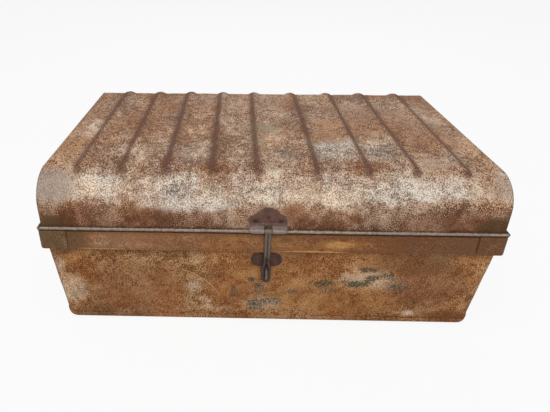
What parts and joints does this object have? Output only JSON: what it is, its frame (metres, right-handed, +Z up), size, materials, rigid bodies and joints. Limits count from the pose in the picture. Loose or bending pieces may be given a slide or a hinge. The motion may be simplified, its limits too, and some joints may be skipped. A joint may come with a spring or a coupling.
{
  "type": "sheet iron travelling trunk",
  "caption": "Sheet-iron travelling trunk with a fluted flat-topped lid, rounded lid edges, hollow collar, wire hasp and staple, back hinges and drop handles.",
  "frame": {"origin": "middle of the flat underside, on the floor", "axes": "+X to the right along the front, +Y to the back hinges, +Z up"},
  "size_m": [0.777, 0.5038, 0.3005],
  "materials": {
    "lid_sheet": "worn beige and brown paint over rusted sheet iron",
    "base_sheet": "orange-brown rusted sheet iron with paint remains",
    "collar_sheet": "dark brown rusted sheet iron, rubbed on the edges",
    "fitting_iron": "dark oxidised iron",
    "rivet_iron": "rusted iron",
    "wire_steel": "dull bare wire"
  },
  "bodies": {
    "base": {"bottom_pan": "base_sheet", "front_panel": "base_sheet", "back_panel": "base_sheet", "left_end_panel": "base_sheet", "right_end_panel": "base_sheet", "base_seam_rivets": "rivet_iron", "collar_front_strip": "collar_sheet", "collar_back_strip": "collar_sheet", "collar_left_wrap": "collar_sheet", "collar_right_wrap": "collar_sheet", "collar_rivets": "rivet_iron", "staple_plate": "fitting_iron", "hasp_staple": "fitting_iron", "staple_plate_rivets": "rivet_iron", "left_handle_plate": "fitting_iron", "right_handle_plate": "fitting_iron", "left_handle_lugs": "fitting_iron", "right_handle_lugs": "fitting_iron", "handle_plate_rivets": "rivet_iron", "left_hinge_base_leaf": "fitting_iron", "right_hinge_base_leaf": "fitting_iron", "left_hinge_pin": "wire_steel", "right_hinge_pin": "wire_steel", "hinge_base_rivets": "rivet_iron"},
    "lid": {"lid_skin": "lid_sheet", "lid_left_end": "lid_sheet", "lid_right_end": "lid_sheet", "lid_edge_wire": "wire_steel", "hasp_plate": "fitting_iron", "hasp_pivot_pin": "wire_steel", "hasp_plate_rivets": "rivet_iron", "left_hinge_lid_leaf": "fitting_iron", "right_hinge_lid_leaf": "fitting_iron", "hinge_lid_rivets": "rivet_iron"},
    "hasp": {"hasp_loop": "fitting_iron"},
    "left_handle": {"left_handle_bail": "fitting_iron"},
    "right_handle": {"right_handle_bail": "fitting_iron"}
  },
  "joints": [
    {"name": "lid_hinge", "type": "hinge", "parent": "base", "child": "lid", "pos_m": [0, 0.24545, 0.2035], "axis": [-1, 0, 0], "range_deg": [0, 105]},
    {"name": "hasp_swing", "type": "hinge", "parent": "lid", "child": "hasp", "pos_m": [-0.005, -0.2461, 0.2135], "axis": [-1, 0, 0], "range_deg": [0, 170]},
    {"name": "left_handle_swing", "type": "hinge", "parent": "base", "child": "left_handle", "pos_m": [-0.38184, 0, 0.11721], "axis": [0, 1, 0], "range_deg": [0, 150]},
    {"name": "right_handle_swing", "type": "hinge", "parent": "base", "child": "right_handle", "pos_m": [0.38184, 0, 0.11721], "axis": [0, -1, 0], "range_deg": [0, 150]}
  ]
}
